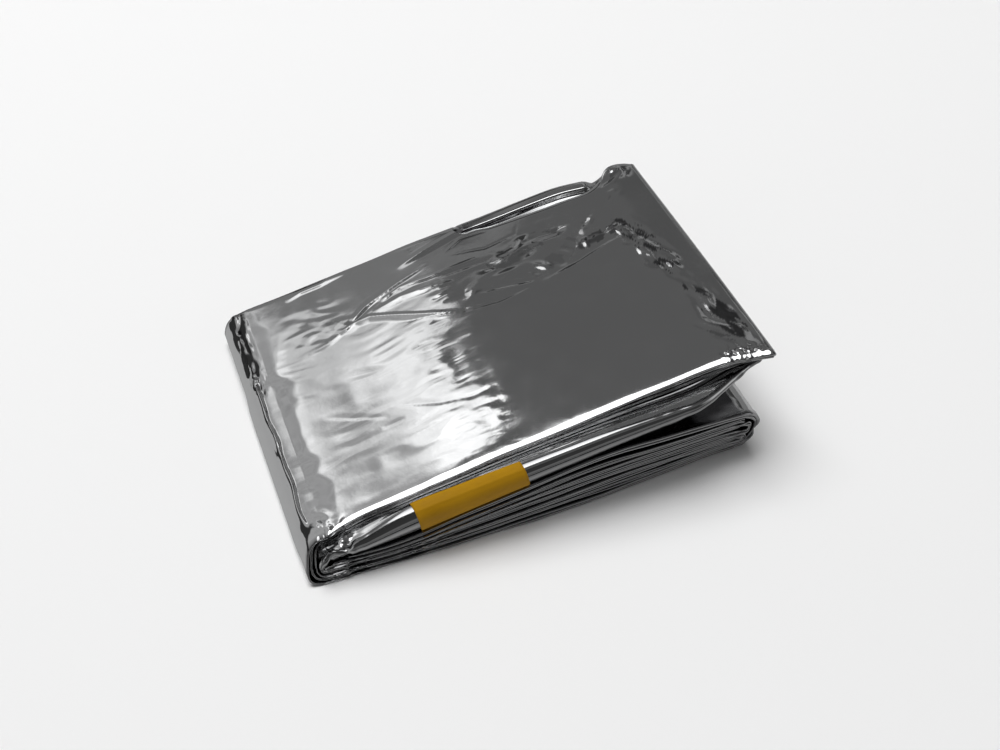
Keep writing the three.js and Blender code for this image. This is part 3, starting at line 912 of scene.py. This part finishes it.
def floor_material():
    """Pale and matt. Gloss sees it with painted shade: darker, and darker still in front of the bag."""
    material, nodes, links, shader = new_material("pale_floor")
    shader.inputs["Base Color"].default_value = FLOOR_COLOUR
    shader.inputs["Roughness"].default_value = 1.0
    shader.inputs["Specular IOR Level"].default_value = 0.0
    painted_shade = nodes.new("ShaderNodeBsdfDiffuse")
    place = nodes.new("ShaderNodeTexCoord")
    parts = nodes.new("ShaderNodeSeparateXYZ")
    links.new(place.outputs["Object"], parts.inputs[0])
    front_painted_shade = nodes.new("ShaderNodeMapRange")
    front_painted_shade.inputs["From Min"].default_value, front_painted_shade.inputs["From Max"].default_value = FLOOR_PAINTED_SHADE_SPAN
    links.new(parts.outputs["Y"], front_painted_shade.inputs["Value"])
    between(nodes, links, front_painted_shade.outputs["Result"], FLOOR_PAINTED_SHADE_IN_GLOSS, painted_shade.inputs["Color"])
    # Painted shade: glossy rays see the darker colour instead of the pale one.
    rays = nodes.new("ShaderNodeLightPath")
    blend = nodes.new("ShaderNodeMixShader")
    links.new(rays.outputs["Is Glossy Ray"], blend.inputs["Fac"])
    links.new(shader.outputs["BSDF"], blend.inputs[1])
    links.new(painted_shade.outputs["BSDF"], blend.inputs[2])
    links.new(blend.outputs["Shader"], nodes["Material Output"].inputs["Surface"])
    return material


floor.data.materials.append(floor_material())

# The studio: how bright it is round the object. Bearings are in radians from the back, positive to the right.
# The z of a direction is one straight above.
ROOM = {
    "front": 0.035,
    "low_front": 0.14,
    "right_back": 0.11,
    "low_right": 0.04,
    "above_right": 0.18,
    "right": 0.09,
    "low_left": 0.03,
    "low_back": 0.19,
    "pale_patches": 0.26,
    "window": 0.36,
    "side_panel": 0.45,
    "overhead": 2.4,
}
WINDOW_CLOUDS = {"Scale": 34, "Detail": 1}
WINDOW_EVEN = (0.88, 1.12)  # how much its clouds darken and lighten the window
PATCHES = {"Scale": 9}
OVERHEAD_TILT = math.radians(5.5)  # to the back of straight above
OVERHEAD_EDGE = (0.928, 0.944)  # the cosines where the panel ends and where it is in full


def studio_world():
    world = bpy.data.worlds.new("studio")
    bpy.context.scene.world = world
    world.use_nodes = True
    nodes, links = world.node_tree.nodes, world.node_tree.links

    def put(socket, value):
        if isinstance(value, (int, float)):
            socket.default_value = value
        else:
            links.new(value, socket)

    def math_of(operation, a, b=0.0):
        node = nodes.new("ShaderNodeMath")
        node.operation = operation
        put(node.inputs[0], a)
        put(node.inputs[1], b)
        return node.outputs[0]

    def ramp(value, low, high, start=0.0, end=1.0):
        node = nodes.new("ShaderNodeMapRange")
        node.interpolation_type = "SMOOTHSTEP"
        put(node.inputs["Value"], value)
        for name, number in (("From Min", low), ("From Max", high), ("To Min", start), ("To Max", end)):
            put(node.inputs[name], number)
        return node.outputs["Result"]

    def both(a, b):
        return math_of("MULTIPLY", a, b)

    def blend(a, b, share):
        return math_of("ADD", a, both(share, math_of("SUBTRACT", b, a)))

    def noise(settings):
        node = nodes.new("ShaderNodeTexNoise")
        for name, value in settings.items():
            node.inputs[name].default_value = value
        links.new(place.outputs["Generated"], node.inputs["Vector"])
        return node.outputs["Fac"]

    place = nodes.new("ShaderNodeTexCoord")
    parts = nodes.new("ShaderNodeSeparateXYZ")
    links.new(place.outputs["Generated"], parts.inputs[0])
    x, y, z = parts.outputs
    bearing = math_of("ARCTAN2", x, y)
    # The window behind, to the left: brighter higher up and towards its right edge
    rise = math_of("ADD", ramp(z, 0.62, 0.7, 0.2, 0.65), ramp(z, 0.72, 0.8, 0, 0.3))
    window = math_of("ADD", ROOM["window"], both(rise, ramp(bearing, -0.31, -0.21)))
    window = both(window, ramp(noise(WINDOW_CLOUDS), 0.35, 0.65, *WINDOW_EVEN))
    in_window = math_of("MAXIMUM", ramp(z, 0.612, 0.63), ramp(bearing, -0.2, -0.23))
    left = blend(ROOM["low_back"], window, in_window)
    left = blend(left, ROOM["low_left"], ramp(z, 0.3, 0.22))
    left = blend(left, ROOM["low_left"], both(ramp(bearing, -0.3, -0.45), ramp(z, 0.62, 0.5)))
    left = blend(left, ROOM["front"], ramp(bearing, -1.3, -1.9))
    # To the right it is dark, with pale patches low down and further round
    patches = noise(PATCHES)
    far_patches = ramp(patches, 0.5, 0.56, ROOM["low_right"], ROOM["pale_patches"])
    low_patches = ramp(patches, 0.45, 0.49, ROOM["low_right"], ROOM["pale_patches"])
    right = blend(low_patches, ROOM["above_right"], ramp(z, 0.56, 0.575))
    right = blend(right, ROOM["right_back"], ramp(z, 0.6, 0.62))
    right = blend(right, ROOM["right"], both(ramp(bearing, 0.24, 0.27), ramp(z, 0.57, 0.6)))
    right = blend(right, far_patches, ramp(bearing, 0.34, 0.38))
    right = blend(right, ROOM["right"], ramp(bearing, 0.9, 1.0))
    right = blend(right, ROOM["low_back"], ramp(z, 0.46, 0.4))
    right = blend(right, ROOM["front"], ramp(bearing, 1.3, 1.9))
    # The window's right edge isn't straight
    edge_shift = math_of("ADD", ramp(z, 0.66, 0.715, 0.12, 0), ramp(z, 0.74, 0.79, 0, 0.03))
    light = blend(right, left, ramp(math_of("SUBTRACT", bearing, edge_shift), -0.147, -0.153))
    # Between the window's top and the overhead panel the right side stays dark
    slanted = math_of("ADD", x, both(z, 0.5))
    light = blend(light, ROOM["right_back"], both(ramp(slanted, 0.311, 0.319), ramp(z, 0.825, 0.84)))
    # A pale wall to the front, low down, and a panel on each side of it
    away = math_of("ABSOLUTE", bearing)
    light = blend(light, ROOM["low_front"], both(ramp(away, 1.5, 1.9), ramp(z, 0.42, 0.3)))
    beside = both(ramp(away, 1.75, 1.9), ramp(away, 2.5, 2.3))
    light = blend(light, ROOM["side_panel"], both(beside, both(ramp(z, 0.1, 0.2), ramp(z, 0.8, 0.7))))
    # The overhead panel, narrower to the right
    over = nodes.new("ShaderNodeVectorMath")
    over.operation = "DOT_PRODUCT"
    links.new(place.outputs["Generated"], over.inputs[0])
    over.inputs[1].default_value = (0.0, math.sin(OVERHEAD_TILT), math.cos(OVERHEAD_TILT))
    narrower = math_of("ADD", ramp(x, -0.12, 0, 0, 0.028), ramp(x, 0.04, 0.14, 0, 0.018))
    within = math_of("SUBTRACT", over.outputs["Value"], narrower)
    light = blend(light, ROOM["overhead"], ramp(within, *OVERHEAD_EDGE))
    links.new(light, nodes["Background"].inputs["Strength"])
    nodes["Background"].inputs["Color"].default_value = (1, 1, 1, 1)


studio_world()


def aimed(thing, place, target):
    """Puts a lamp or a camera in its place, pointed at a target."""
    thing.location = place
    thing.rotation_euler = (Vector(target) - Vector(place)).to_track_quat("-Z", "Y").to_euler()
    bpy.context.scene.collection.objects.link(thing)


# A soft light on the floor, which the film doesn't mirror
SOFTBOX = {"place": (-0.15, 0.55, 1.5), "wide": 1.1, "power": 20}
softbox_light = bpy.data.lights.new("overhead", "AREA")
softbox_light.size = SOFTBOX["wide"]
softbox_light.energy = SOFTBOX["power"]
softbox = bpy.data.objects.new("overhead", softbox_light)
softbox.visible_glossy = False
aimed(softbox, SOFTBOX["place"], (0, 0, 0))

EYE = (-0.08328, -0.23284, 0.24302)
AIM = (0.001304, -0.007085, 0.012)
camera_data = bpy.data.cameras.new("camera")
camera_data.lens = 50
camera_data.sensor_width = 36
camera_data.clip_start = 0.01
camera = bpy.data.objects.new("camera", camera_data)
aimed(camera, EYE, AIM)
bpy.context.scene.camera = camera
